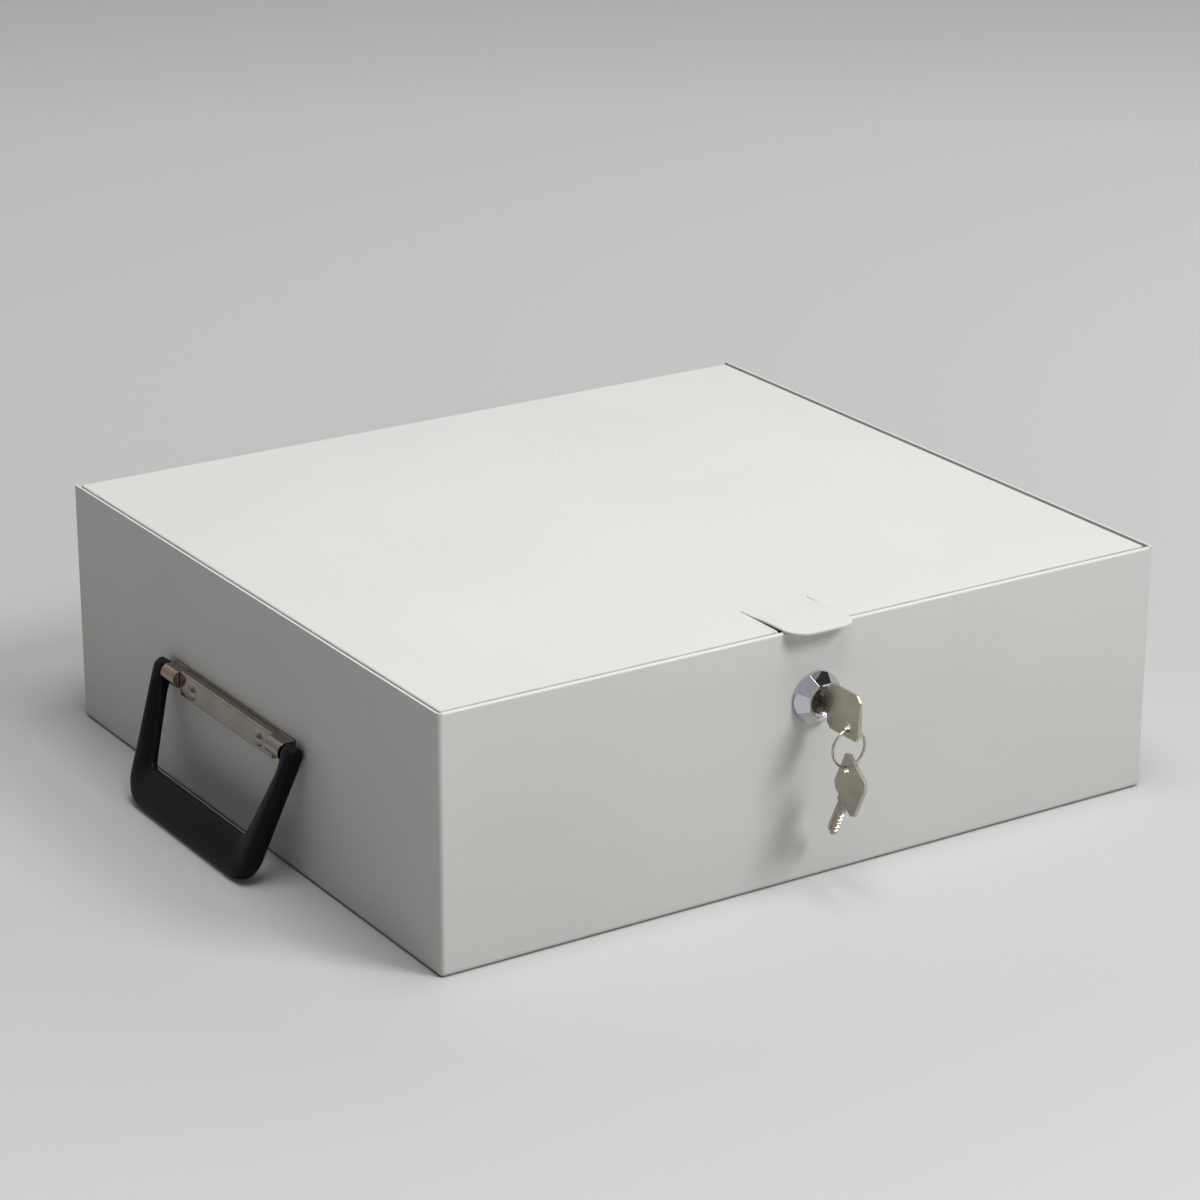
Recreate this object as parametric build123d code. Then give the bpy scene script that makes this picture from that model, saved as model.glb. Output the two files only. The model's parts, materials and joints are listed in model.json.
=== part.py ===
from build123d import *
import os
from math import cos, radians, sin

# Steel deed box with an inset lid, a cam lock, two keys on a ring and a side handle.
# Millimetres, +Z up, +X to the right and +Y to the back, seen from the lock side.
# The origin is the centre of the underside that the box rests on.

# Case
case_width = 350.0
case_depth = 318.0
case_height = 110.0
sheet = 1.0
case_corner_radius = 2.0
case_base_radius = 2.2
front_hem_depth = 10.0
hem_end_gap = 1.2

# Lid
lid_side_gap = 1.0
lid_front_gap = 1.0
lid_drop = 0.2
lid_flange_depth = 8.0
lid_bend_radius = 1.5

# Finger tab, lanced from the lid and raised over the front rim
tab_width = 33.0
tab_overhang = 8.0
tab_root_length = 27.0
tab_rise_length = 25.0
tab_corner_radius = 9.0
tab_slit_width = 0.4
tab_rim_clearance = 0.1

# Piano hinge
hinge_length = 336.0
knuckle_radius = 2.0
hinge_pin_radius = 1.0
hinge_pin_clearance = 0.05
hinge_lid_gap = 0.15
knuckle_count = 13
knuckle_end_gap = 0.3
back_wall_gap = 0.3
knuckle_side_clearance = 0.4
leaf_sheet = 1.0
leaf_width = 14.0

# Cam lock, with y counted inwards from the front face of the case
lock_below_rim = 30.5
collar_diameter = 22.5
collar_nose_diameter = 14.6
collar_protrusion = 6.5
collar_base_band = 1.0
collar_facets = 8
collar_mouth_diameter = 13.0
collar_mouth_depth = 1.9
barrel_diameter = 16.0
barrel_flat_width = 14.0
barrel_length = 14.0
barrel_hole_clearance = 0.15
plug_diameter = 11.6
plug_clearance = 0.05
plug_face_recess = 2.0
plug_shank_square = 6.6
washer_outer_diameter = 22.0
washer_thickness = 0.8
nut_across_flats = 20.0
nut_thickness = 3.5
stop_washer_diameter = 15.0
stop_washer_thickness = 1.0
cam_length = 21.0
cam_width = 10.0
cam_root_diameter = 12.0
cam_thickness = 2.4
cam_square_clearance = 0.1
cam_stack_gap = 0.1
cam_screw_diameter = 3.0
cam_screw_head_diameter = 7.6
cam_screw_head_height = 2.4
cam_screw_slot_width = 1.0
cam_screw_length = 5.0
cam_screw_hole_spare = 1.0

# Wafers and their springs
wafer_count = 5
wafer_pitch = 2.4
wafer_first = -3.0
wafer_thickness = 1.0
wafer_width = 6.0
wafer_height = 9.6
wafer_slot_clearance = 0.05
wafer_window_margin = 0.35
wafer_ledge_reach = 1.5
wafer_ledge_height = 1.0
wafer_ledge_top = 2.6
spring_diameter = 0.9
spring_length = 2.8

# Keys
key_thickness = 1.8
bow_length = 21.5
bow_height = 19.6
bow_corner_cut = 2.4
bow_edge_cut = 0.3
bow_start = 9.0
key_blade_height = 5.0
key_blade_length = 19.6
key_tip_cut = 1.2
key_groove_depth = 0.35
key_groove_height = 1.0
key_groove_above_axis = 0.3
key_shoulder_height = 7.6
key_shoulder_length = 2.3
key_hole_diameter = 4.0
key_hole_from_end = 7.3
key_hole_below_axis = 5.1
keyway_clearance = 0.15
keyway_end_gap = 1.0
key_cut_depths = [0.8, 1.3, 0.5, 1.2, 0.7]
key_cut_width = 0.7
spare_key_tilt = 30.0
spare_key_turn = -8.0

# Split ring
ring_mean_radius = 7.9
ring_wire_radius = 0.55
ring_hole_gap = 0.1

# Strike under the lid
strike_sheet = 1.5
strike_cam_gap = 0.9
strike_lip_gap = 0.3
strike_lip_length = 9.0
strike_width = 9.0
strike_foot_length = 13.0

# Side handle on the left wall
handle_from_centre = 8.0
handle_pivot_height = 55.0
handle_pivot_from_wall = 4.6
handle_lean = 20.0
handle_thickness = 8.0
handle_edge_radius = 2.9
handle_eye_edge_radius = 1.5
handle_eye_half_outer = 61.5
handle_grip_half_outer = 53.6
handle_arm_width = 6.9
handle_opening_half_grip = 42.4
handle_grip_height = 17.6
handle_floor_gap = 0.2
handle_outer_corner = 13.0
handle_inner_corner = 4.0

# Bracket, pivot pins and rivets of the handle
bracket_length = 105.0
bracket_top_above_pivot = 4.0
bracket_middle_depth = 5.2
bracket_middle_drop = 7.0
bracket_knuckle_length = 11.5
bracket_roll_wall = 1.2
bracket_roll_depth = 5.5
bracket_edge_radius = 0.8
handle_side_clearance = 0.3
pin_radius = 2.0
pin_running_clearance = 0.06
pin_in_bracket = 5.5
pin_in_eye = 6.0
rivet_spacing = 60.0
rivet_below_pivot = 2.0
rivet_shank_radius = 2.0
rivet_hole_clearance = 0.1
rivet_head_radius = 3.4
rivet_head_height = 1.6
rivet_tail_radius = 3.0
rivet_tail_height = 1.4
rivet_washer_radius = 5.0
rivet_washer_thickness = 0.8

# How far a cutting solid runs past the face it cuts, or a joined one into its neighbour
overcut = 1.0

# Places worked out from the sizes above
wall_x = case_width / 2
front_y = -case_depth / 2
back_y = case_depth / 2
lid_top = case_height - lid_drop
lock_height = case_height - lock_below_rim
lid_under = lid_top - sheet
lid_half_width = wall_x - sheet - lid_side_gap
lid_front_y = front_y + 2 * sheet + lid_front_gap
hinge_y = back_y - sheet - knuckle_radius
hinge_z = lid_under - hinge_lid_gap - knuckle_radius
back_wall_top = hinge_z - knuckle_radius - back_wall_gap
tab_under = case_height + tab_rim_clearance
lock_wall_inner = front_y + sheet
cam_front_y = front_y + barrel_length + stop_washer_thickness + 2 * cam_stack_gap
cam_back_y = cam_front_y + cam_thickness
plug_front_y = front_y - collar_protrusion + plug_face_recess
plug_back_y = front_y + barrel_length + cam_stack_gap
handle_x = -wall_x - handle_pivot_from_wall
handle_flat_half = handle_thickness / 2 - handle_edge_radius
handle_opening_half_top = handle_eye_half_outer - handle_arm_width
handle_slope = radians(handle_lean)
handle_low_point = handle_floor_gap + handle_edge_radius + handle_flat_half * sin(handle_slope)
handle_length = (handle_pivot_height - handle_low_point) / cos(handle_slope) + handle_edge_radius
handle_opening_depth = handle_length - handle_grip_height
key_hole_y = front_y - bow_start - bow_length + key_hole_from_end
key_hole_z = lock_height - key_hole_below_axis
ring_top_z = key_hole_z - key_hole_diameter / 2 + ring_wire_radius + ring_hole_gap
ring_centre_z = ring_top_z - ring_mean_radius
ring_bottom_z = ring_centre_z - ring_mean_radius
spare_hole_z = ring_bottom_z - key_hole_diameter / 2 + ring_wire_radius + ring_hole_gap


def block(x0, x1, y0, y1, z0, z1):
    """Box between two corners."""
    return Pos((x0 + x1) / 2, (y0 + y1) / 2, (z0 + z1) / 2) * Box(x1 - x0, y1 - y0, z1 - z0)


def rod_y(x, z, y0, y1, radius):
    """Round bar along Y."""
    return Pos(x, (y0 + y1) / 2, z) * Rot(90, 0, 0) * Cylinder(radius, y1 - y0)


def rod_x(y, z, x0, x1, radius):
    """Round bar along X."""
    return Pos((x0 + x1) / 2, y, z) * Rot(0, 90, 0) * Cylinder(radius, x1 - x0)


def side_plate(points, x0, x1):
    """Plate with an outline in the YZ plane, from x0 to x1."""
    outline = Polyline(*[(x0, y, z) for y, z in points], close=True)
    return extrude(make_face(outline), x1 - x0, dir=(1, 0, 0))


def double_d(y0, y1, radius, half_flat):
    """Bar along Y on the lock axis with two upright flats."""
    bar = rod_y(0, lock_height, y0, y1, radius)
    return bar & block(-half_flat, half_flat, y0, y1, lock_height - radius, lock_height + radius)


def build_case():
    outer = block(-wall_x, wall_x, front_y, back_y, 0, case_height)
    outer = fillet(outer.edges().filter_by(Axis.Z), case_corner_radius)
    outer = fillet(outer.edges().group_by(Axis.Z)[0], case_base_radius)
    inner = block(-wall_x + sheet, wall_x - sheet, front_y + sheet, back_y - sheet,
                  sheet, case_height + overcut)
    inner = fillet(inner.edges().filter_by(Axis.Z), case_corner_radius - sheet)
    inner = fillet(inner.edges().group_by(Axis.Z)[0], case_base_radius - sheet)
    case = outer - inner
    back_notch = wall_x - sheet
    case -= block(-back_notch, back_notch, back_y - 2 * sheet, back_y + overcut,
                  back_wall_top, case_height + overcut)
    hem_half = wall_x - sheet - hem_end_gap
    hem = block(-hem_half, hem_half, front_y, front_y + 2 * sheet,
                case_height - front_hem_depth, case_height)
    case += hem
    rim = block(-hem_half, hem_half, front_y - overcut, front_y + 2 * sheet + overcut,
                case_height - sheet, case_height + overcut)
    fold = rod_x(front_y + sheet, case_height - sheet, -hem_half, hem_half, sheet)
    case -= rim
    case += fold
    hole_radius = barrel_diameter / 2 + barrel_hole_clearance
    hole_flat = barrel_flat_width / 2 + barrel_hole_clearance
    case -= double_d(front_y - overcut, lock_wall_inner + overcut, hole_radius, hole_flat)
    rivet_hole = rivet_shank_radius + rivet_hole_clearance
    for y, z in rivet_places():
        case -= rod_x(y, z, -wall_x - overcut, -wall_x + sheet + overcut, rivet_hole)
    return case


def build_lid():
    outer = block(-lid_half_width, lid_half_width, lid_front_y, hinge_y,
                  lid_top - lid_flange_depth, lid_top)
    front_uprights = outer.edges().filter_by(Axis.Z).group_by(Axis.Y)[0]
    outer = fillet(front_uprights, lid_bend_radius)
    top_edges = outer.faces().sort_by(Axis.Z)[-1].edges()
    rear_edge = top_edges.sort_by(Axis.Y)[-1]
    outer = fillet([edge for edge in top_edges if edge != rear_edge], lid_bend_radius)
    hollow = block(-lid_half_width + sheet, lid_half_width - sheet, lid_front_y + sheet, hinge_y + overcut,
                   lid_top - lid_flange_depth - overcut, lid_under)
    lid = outer - hollow
    tab_half = tab_width / 2
    slit_end = lid_front_y + tab_root_length
    for side in (-1, 1):
        inner_x = side * (tab_half - tab_slit_width)
        outer_x = side * tab_half
        lid -= block(min(inner_x, outer_x), max(inner_x, outer_x), lid_front_y - overcut, slit_end,
                     lid_top - lid_flange_depth - overcut, lid_top + overcut)
    lid -= block(-tab_half, tab_half, lid_front_y - overcut, slit_end,
                 lid_top - lid_flange_depth - overcut, lid_top + overcut)
    tongue_half = tab_half - tab_slit_width
    tab_front = front_y - tab_overhang
    rise_end = slit_end - tab_rise_length
    rise_middle = (slit_end + rise_end) / 2
    profile = Wire([
        Line((-tongue_half, slit_end, lid_under), (-tongue_half, slit_end, lid_top)),
        Bezier((-tongue_half, slit_end, lid_top), (-tongue_half, rise_middle, lid_top),
               (-tongue_half, rise_middle, tab_under + sheet), (-tongue_half, rise_end, tab_under + sheet)),
        Line((-tongue_half, rise_end, tab_under + sheet), (-tongue_half, tab_front, tab_under + sheet)),
        Line((-tongue_half, tab_front, tab_under + sheet), (-tongue_half, tab_front, tab_under)),
        Line((-tongue_half, tab_front, tab_under), (-tongue_half, rise_end, tab_under)),
        Bezier((-tongue_half, rise_end, tab_under), (-tongue_half, rise_middle, tab_under),
               (-tongue_half, rise_middle, lid_under), (-tongue_half, slit_end, lid_under)),
    ])
    tongue = extrude(Face(profile), 2 * tongue_half, dir=(1, 0, 0))
    plan = block(-tongue_half, tongue_half, tab_front, slit_end,
                 lid_under - overcut, tab_under + sheet + overcut)
    front_corners = plan.edges().filter_by(Axis.Z).group_by(Axis.Y)[0]
    plan = fillet(front_corners, tab_corner_radius)
    return lid + (tongue & plan)


def knuckle_spans(first):
    """Spans along X of every second hinge knuckle, from the given one."""
    pitch = hinge_length / knuckle_count
    gap = knuckle_end_gap / 2
    start = -hinge_length / 2
    return [(start + i * pitch + gap, start + (i + 1) * pitch - gap)
            for i in range(first, knuckle_count, 2)]


def hinge_bore():
    half = hinge_length / 2 + overcut
    return rod_x(hinge_y, hinge_z, -half, half, hinge_pin_radius + hinge_pin_clearance)


def build_case_leaf():
    y1 = back_y - sheet
    y0 = y1 - leaf_sheet
    half = hinge_length / 2
    clear = knuckle_radius + knuckle_side_clearance
    leaf = block(-half, half, y0, y1, hinge_z - leaf_width, hinge_z - clear)
    for x0, x1 in knuckle_spans(0):
        leaf += block(x0, x1, y0, y1, hinge_z - clear - overcut, hinge_z)
        leaf += rod_x(hinge_y, hinge_z, x0, x1, knuckle_radius)
    return leaf - hinge_bore()


def build_lid_leaf():
    half = hinge_length / 2
    clear = knuckle_radius + knuckle_side_clearance
    z0 = lid_under - leaf_sheet
    leaf = block(-half, half, hinge_y - leaf_width, hinge_y - clear, z0, lid_under)
    for x0, x1 in knuckle_spans(1):
        leaf += block(x0, x1, hinge_y - clear - overcut, hinge_y, z0, lid_under)
        leaf += rod_x(hinge_y, hinge_z, x0, x1, knuckle_radius)
    return leaf - hinge_bore()


def build_hinge_pin():
    half = hinge_length / 2
    return rod_x(hinge_y, hinge_z, -half, half, hinge_pin_radius)


def build_lock_housing():
    half_turn = 180 / collar_facets
    base = Plane(origin=(0, front_y - collar_base_band, lock_height), z_dir=(0, -1, 0))
    nose = Plane(origin=(0, front_y - collar_protrusion, lock_height), z_dir=(0, -1, 0))
    lower = base * RegularPolygon(collar_diameter / 2, collar_facets, False, half_turn)
    upper = nose * RegularPolygon(collar_nose_diameter / 2, collar_facets, False, half_turn)
    faceted = loft([lower.face(), upper.face()])
    around = rod_y(0, lock_height, front_y - collar_protrusion, front_y, collar_diameter / 2)
    body = faceted & around
    body += rod_y(0, lock_height, front_y - collar_base_band, front_y, collar_diameter / 2)
    body += double_d(front_y, front_y + barrel_length, barrel_diameter / 2, barrel_flat_width / 2)
    bore = plug_diameter / 2 + plug_clearance
    nose_y = front_y - collar_protrusion
    body -= rod_y(0, lock_height, nose_y - overcut, front_y + barrel_length + overcut, bore)
    body -= rod_y(0, lock_height, nose_y - overcut, nose_y + collar_mouth_depth, collar_mouth_diameter / 2)
    return body


def rivet_places():
    z = handle_pivot_height - rivet_below_pivot
    return [(handle_from_centre + side * rivet_spacing / 2, z) for side in (-1, 1)]


def wafer_places():
    return [front_y + wafer_first + i * wafer_pitch for i in range(wafer_count)]


def build_plug():
    plug = rod_y(0, lock_height, plug_front_y, plug_back_y, plug_diameter / 2)
    shank = plug_shank_square / 2
    plug += block(-shank, shank, plug_back_y, cam_back_y, lock_height - shank, lock_height + shank)
    slot_half = key_thickness / 2 + keyway_clearance
    slot_rise = key_blade_height / 2 + keyway_clearance
    keyway_end = front_y + key_blade_length - bow_start + keyway_end_gap
    plug -= block(-slot_half, slot_half, plug_front_y - overcut, keyway_end,
                  lock_height - slot_rise, lock_height + slot_rise)
    gap = wafer_slot_clearance
    for y in wafer_places():
        y0 = y - wafer_thickness / 2 - gap
        y1 = y + wafer_thickness / 2 + gap
        plug -= block(-wafer_width / 2 - gap, wafer_width / 2 + gap, y0, y1,
                      lock_height - wafer_height / 2 - gap, lock_height + wafer_height / 2 + gap)
        ledge_end = wafer_width / 2 + wafer_ledge_reach + gap
        ledge_under = lock_height + wafer_ledge_top - wafer_ledge_height
        plug -= block(0, ledge_end, y0, y1, ledge_under - spring_length - gap,
                      lock_height + wafer_ledge_top + gap)
    screw_hole_end = cam_back_y - cam_screw_length - cam_screw_hole_spare
    plug -= rod_y(0, lock_height, screw_hole_end, cam_back_y + overcut, cam_screw_diameter / 2)
    return plug


def build_wafers():
    wafers = []
    window_half = key_thickness / 2 + wafer_window_margin
    window_rise = key_blade_height / 2 + wafer_window_margin
    for y in wafer_places():
        y0 = y - wafer_thickness / 2
        y1 = y + wafer_thickness / 2
        wafer = block(-wafer_width / 2, wafer_width / 2, y0, y1,
                      lock_height - wafer_height / 2, lock_height + wafer_height / 2)
        ledge_top = lock_height + wafer_ledge_top
        wafer += block(0, wafer_width / 2 + wafer_ledge_reach, y0, y1,
                       ledge_top - wafer_ledge_height, ledge_top)
        wafer -= block(-window_half, window_half, y0 - overcut, y1 + overcut,
                       lock_height - window_rise, lock_height + window_rise)
        wafers.append(wafer)
    return Compound(children=wafers)


def build_wafer_springs():
    springs = []
    x = wafer_width / 2 + wafer_ledge_reach / 2 + wafer_slot_clearance
    top = lock_height + wafer_ledge_top - wafer_ledge_height
    for y in wafer_places():
        spring = Pos(x, y, top - spring_length / 2) * Cylinder(spring_diameter / 2, spring_length)
        springs.append(spring)
    return Compound(children=springs)


def build_washer():
    y0 = lock_wall_inner
    ring = rod_y(0, lock_height, y0, y0 + washer_thickness, washer_outer_diameter / 2)
    hole = barrel_diameter / 2 + barrel_hole_clearance
    return ring - rod_y(0, lock_height, y0 - overcut, y0 + washer_thickness + overcut, hole)


def build_nut():
    y0 = lock_wall_inner + washer_thickness
    plane = Plane(origin=(0, y0, lock_height), z_dir=(0, 1, 0))
    outline = plane * RegularPolygon(nut_across_flats / 2, 6, major_radius=False)
    nut = extrude(outline.face(), nut_thickness, dir=(0, 1, 0))
    hole = barrel_diameter / 2 + wafer_slot_clearance
    return nut - rod_y(0, lock_height, y0 - overcut, y0 + nut_thickness + overcut, hole)


def square_hole(y0, y1):
    half = plug_shank_square / 2 + cam_square_clearance
    return block(-half, half, y0 - overcut, y1 + overcut, lock_height - half, lock_height + half)


def build_stop_washer():
    y0 = plug_back_y
    y1 = y0 + stop_washer_thickness
    return rod_y(0, lock_height, y0, y1, stop_washer_diameter / 2) - square_hole(y0, y1)


def build_cam():
    half = cam_width / 2
    root = rod_y(0, lock_height, cam_front_y, cam_back_y, cam_root_diameter / 2)
    arm = block(-half, half, cam_front_y, cam_back_y, lock_height, lock_height + cam_length)
    tip = arm.edges().filter_by(Axis.Y).group_by(Axis.Z)[-1]
    arm = fillet(tip, half / 2)
    return root + arm - square_hole(cam_front_y, cam_back_y)


def build_cam_screw():
    y0 = cam_back_y
    head = rod_y(0, lock_height, y0, y0 + cam_screw_head_height, cam_screw_head_diameter / 2)
    head = fillet(head.edges().sort_by(Axis.Y)[-1], cam_screw_head_height / 3)
    shank = rod_y(0, lock_height, y0 - cam_screw_length, y0, cam_screw_diameter / 2)
    slot_half = cam_screw_head_diameter / 2
    slot_rise = cam_screw_slot_width / 2
    slot = block(-slot_half, slot_half, y0 + cam_screw_head_height / 2,
                 y0 + cam_screw_head_height + overcut, lock_height - slot_rise, lock_height + slot_rise)
    return head + shank - slot


def build_key():
    """Key in the lock, with its blade along +Y and its bow outside the front."""
    axis_z = lock_height
    inner = front_y - bow_start
    outer = inner - bow_length
    half = bow_height / 2
    cut = bow_corner_cut
    bow = [(inner, -half + cut), (inner, half - cut), (inner - cut, half), (outer + cut, half),
           (outer, half - cut), (outer, -half + cut), (outer + cut, -half), (inner - cut, -half)]
    key = side_plate([(y, axis_z + z) for y, z in bow], -key_thickness / 2, key_thickness / 2)
    key = chamfer([edge for edge in key.edges() if abs(edge.center().X) > key_thickness / 4], bow_edge_cut)
    shoulder = key_shoulder_height / 2
    key += block(-key_thickness / 2, key_thickness / 2, inner, inner + key_shoulder_length,
                 axis_z - shoulder, axis_z + shoulder)
    rise = key_blade_height / 2
    tip = inner + key_blade_length
    top_edge = [(inner, rise)]
    for y, depth in zip(wafer_places(), key_cut_depths):
        top_edge += [(y - key_cut_width / 2 - depth / 2, rise), (y - key_cut_width / 2, rise - depth),
                     (y + key_cut_width / 2, rise - depth), (y + key_cut_width / 2 + depth / 2, rise)]
    end = [(tip - key_tip_cut, rise), (tip, rise - key_tip_cut), (tip, -rise + key_tip_cut),
           (tip - key_tip_cut, -rise), (inner, -rise)]
    blade = [(y, axis_z + z) for y, z in top_edge + end]
    key += side_plate(blade, -key_thickness / 2, key_thickness / 2)
    groove_z = axis_z + key_groove_above_axis
    for side in (-1, 1):
        faces = sorted((side * (key_thickness / 2 - key_groove_depth), side * key_thickness))
        key -= block(faces[0], faces[1], inner, tip + overcut, groove_z - key_groove_height, groove_z)
    return key - rod_x(key_hole_y, key_hole_z, -key_thickness, key_thickness, key_hole_diameter / 2)


def build_spare_key(key):
    """The same key, turned over and hung by its corner hole from the ring."""
    at_hole = Pos(0, -key_hole_y, -key_hole_z) * key
    turned_over = mirror(at_hole, Plane.XY)
    hung = Rot(0, 0, spare_key_turn) * (Rot(spare_key_tilt - 90, 0, 0) * turned_over)
    return Pos(0, key_hole_y, spare_hole_z) * hung


def build_ring():
    ring = Torus(ring_mean_radius, ring_wire_radius)
    return Pos(0, key_hole_y, ring_centre_z) * Rot(90, 0, 0) * ring


def build_strike():
    x0 = cam_length + strike_cam_gap
    x1 = x0 + strike_sheet
    middle = (cam_front_y + cam_back_y) / 2
    y0 = middle - strike_width / 2
    y1 = middle + strike_width / 2
    lip_top = lock_height - cam_width / 2 - strike_lip_gap
    hanger = block(x0, x1, y0, y1, lip_top - strike_sheet, lid_under)
    foot = block(x0, x1 + strike_foot_length, y0, y1, lid_under - strike_sheet, lid_under)
    lip = block(x0 - strike_lip_length, x1, y0, y1, lip_top - strike_sheet, lip_top)
    return hanger + foot + lip


def lean(shape):
    """Turn a handle drawn hanging upright to its rest on the table."""
    return Pos(handle_x, 0, handle_pivot_height) * Rot(0, handle_lean, 0) * shape


def build_handle():
    half_thick = handle_thickness / 2
    outer = [(-handle_eye_half_outer, 0), (-handle_grip_half_outer, handle_length),
             (handle_grip_half_outer, handle_length), (handle_eye_half_outer, 0)]
    body = side_plate([(y, -z) for y, z in outer], -half_thick, half_thick)
    low_corners = body.edges().filter_by(Axis.X).group_by(Axis.Z)[0]
    body = fillet(low_corners, handle_outer_corner)
    half_top = handle_opening_half_top
    half_grip = handle_opening_half_grip
    opening = [(-half_top, -1), (-half_top, 0), (-half_grip, handle_opening_depth),
               (half_grip, handle_opening_depth), (half_top, 0), (half_top, -1)]
    window = side_plate([(y, -z) for y, z in opening], -handle_thickness, handle_thickness)
    grip_corners = window.edges().filter_by(Axis.X).group_by(Axis.Z)[0]
    window = fillet(grip_corners, handle_inner_corner)
    bail = body - window
    face_edges = [edge for edge in bail.edges()
                  if abs(abs(edge.center().X) - half_thick) < 0.01 and edge.center().Z < -1]
    bail = fillet(face_edges, handle_edge_radius)
    hub_start = bracket_length / 2 + handle_side_clearance
    pin_end = bracket_length / 2 + pin_in_eye + pin_running_clearance
    for side in (-1, 1):
        eye = sorted((side * hub_start, side * handle_eye_half_outer))
        bore = sorted((side * (hub_start - overcut), side * pin_end))
        hub = rod_y(0, 0, eye[0], eye[1], half_thick)
        rims = hub.edges().sort_by(Axis.Y)
        hub = fillet(rims[-1] if side > 0 else rims[0], handle_eye_edge_radius)
        bail += hub
        bail -= rod_y(0, 0, bore[0], bore[1], pin_radius + pin_running_clearance)
    return Pos(0, handle_from_centre, 0) * lean(bail)


def build_bracket():
    half = bracket_length / 2
    top = handle_pivot_height + bracket_top_above_pivot
    middle_half = half - bracket_knuckle_length
    y0 = handle_from_centre
    shape = block(-wall_x - bracket_middle_depth, -wall_x, y0 - middle_half, y0 + middle_half,
                  handle_pivot_height - bracket_middle_drop, top)
    front_folds = shape.edges().filter_by(Axis.Y).group_by(Axis.X)[0]
    shape = fillet(front_folds, bracket_edge_radius)
    for side in (-1, 1):
        ends = sorted((y0 + side * middle_half, y0 + side * half))
        shape += rod_y(handle_x, handle_pivot_height, ends[0], ends[1], bracket_top_above_pivot)
        shape += block(handle_x, -wall_x, ends[0], ends[1],
                       handle_pivot_height - bracket_top_above_pivot, top)
    roll_hollow = bracket_top_above_pivot - bracket_roll_wall
    for side in (-1, 1):
        hollow = sorted((y0 + side * middle_half, y0 + side * (middle_half + bracket_roll_depth)))
        shape -= rod_y(handle_x, handle_pivot_height, hollow[0], hollow[1], roll_hollow)
        ends = sorted((y0 + side * (half - pin_in_bracket), y0 + side * (half + overcut)))
        shape -= rod_y(handle_x, handle_pivot_height, ends[0], ends[1], pin_radius)
    rivet_hole = rivet_shank_radius + rivet_hole_clearance
    for y, z in rivet_places():
        shape -= rod_x(y, z, -wall_x - bracket_middle_depth - overcut, -wall_x + overcut, rivet_hole)
    return shape


def build_pivot_pins():
    half = bracket_length / 2
    pins = []
    for side in (-1, 1):
        ends = sorted((handle_from_centre + side * (half - pin_in_bracket),
                       handle_from_centre + side * (half + pin_in_eye)))
        pins.append(rod_y(handle_x, handle_pivot_height, ends[0], ends[1], pin_radius))
    return Compound(children=pins)


def build_bracket_rivets():
    rivets = []
    head_x = -wall_x - bracket_middle_depth
    inner_x = -wall_x + sheet + rivet_washer_thickness
    dome_radius = (rivet_head_radius ** 2 + rivet_head_height ** 2) / (2 * rivet_head_height)
    for y, z in rivet_places():
        ball = Pos(head_x - rivet_head_height + dome_radius, y, z) * Sphere(dome_radius)
        reach = rivet_head_radius + overcut
        dome = ball & block(head_x - rivet_head_height - overcut, head_x,
                            y - reach, y + reach, z - reach, z + reach)
        shank = rod_x(y, z, head_x, inner_x, rivet_shank_radius)
        tail = rod_x(y, z, inner_x, inner_x + rivet_tail_height, rivet_tail_radius)
        tail = fillet(tail.edges().sort_by(Axis.X)[-1], rivet_tail_height / 2)
        rivets.append(dome + shank + tail)
    return Compound(children=rivets)


def build_rivet_washers():
    washers = []
    x0 = -wall_x + sheet
    x1 = x0 + rivet_washer_thickness
    hole = rivet_shank_radius + rivet_hole_clearance
    for y, z in rivet_places():
        disc = rod_x(y, z, x0, x1, rivet_washer_radius)
        washers.append(disc - rod_x(y, z, x0 - overcut, x1 + overcut, hole))
    return Compound(children=washers)


key = build_key()
nodes = {
    "case_body": build_case(),
    "lid_panel": build_lid(),
    "hinge_leaf_case": build_case_leaf(),
    "hinge_leaf_lid": build_lid_leaf(),
    "hinge_pin": build_hinge_pin(),
    "lid_strike": build_strike(),
    "lock_housing": build_lock_housing(),
    "lock_plug": build_plug(),
    "lock_wafers": build_wafers(),
    "wafer_springs": build_wafer_springs(),
    "lock_washer": build_washer(),
    "lock_nut": build_nut(),
    "stop_washer": build_stop_washer(),
    "lock_cam": build_cam(),
    "cam_screw": build_cam_screw(),
    "lock_key": key,
    "key_ring": build_ring(),
    "spare_key": build_spare_key(key),
    "handle_grip": build_handle(),
    "handle_bracket": build_bracket(),
    "handle_pivot_pins": build_pivot_pins(),
    "bracket_rivets": build_bracket_rivets(),
    "rivet_washers": build_rivet_washers(),
}

os.makedirs("parts", exist_ok=True)
for name, shape in nodes.items():
    export_step(shape, f"parts/{name}.step")
    box = shape.bounding_box()
    print(f"{name:20s} {box.min.X:8.2f} {box.min.Y:8.2f} {box.min.Z:8.2f}"
          f" {box.max.X:8.2f} {box.max.Y:8.2f} {box.max.Z:8.2f}")
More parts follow.
